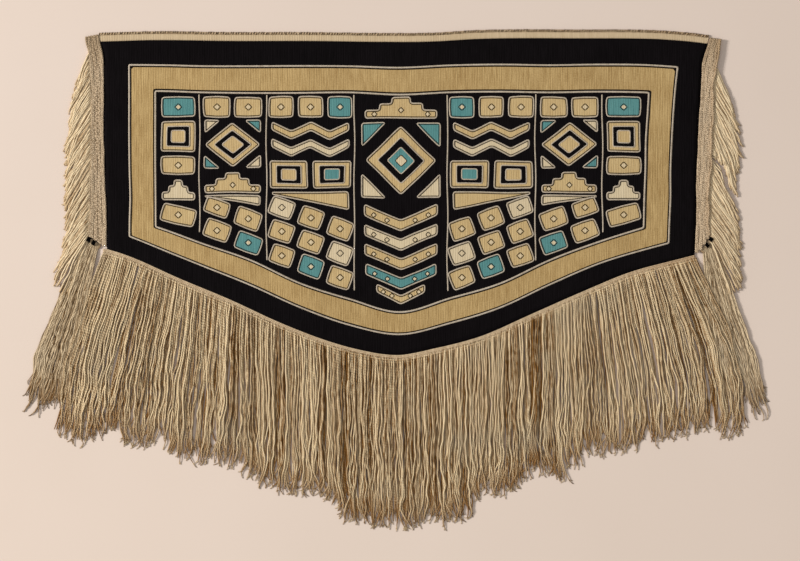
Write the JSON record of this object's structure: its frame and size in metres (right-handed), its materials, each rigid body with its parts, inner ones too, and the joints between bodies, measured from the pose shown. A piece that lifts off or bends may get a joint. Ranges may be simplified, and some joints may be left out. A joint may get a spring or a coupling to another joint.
{
  "type": "chilkat blanket",
  "caption": "Five-sided twined dance blanket laid flat, with bordered field, lashed heading, plaited side bands, side fringes, corner tassels and a long warp fringe.",
  "frame": {"origin": "middle of the blanket's whole reach, on the surface that it lies on", "axes": "+X along the heading, to the right as seen from above; +Y from the fringe to the heading; +Z out of the face"},
  "size_m": [1.7196, 1.1482, 0.0063],
  "materials": {
    "woven_body": "twined wool, black and yellow with cream and blue-green cells",
    "heading_wool": "cream wool, twined",
    "lashing": "dark brown lashing",
    "braid_wool": "greyed cream wool, plaited",
    "side_fringe_wool": "soft cream wool yarn",
    "tassel_wool": "greyed warp yarn",
    "black_wool": "black wool yarn",
    "warp_fringe_wool": "two-ply wool and bark warp yarn"
  },
  "bodies": {
    "root": {"woven_body": "woven_body", "top_heading": "heading_wool", "heading_lashing": "lashing", "left_side_braid": "braid_wool", "right_side_braid": "braid_wool", "left_side_fringe": "side_fringe_wool", "right_side_fringe": "side_fringe_wool", "left_corner_tassel": "tassel_wool", "right_corner_tassel": "tassel_wool", "left_tie_wrap_upper": "black_wool", "left_tie_wrap_lower": "black_wool", "right_tie_wrap_upper": "black_wool", "right_tie_wrap_lower": "black_wool", "bottom_fringe": "warp_fringe_wool"}
  },
  "joints": []
}
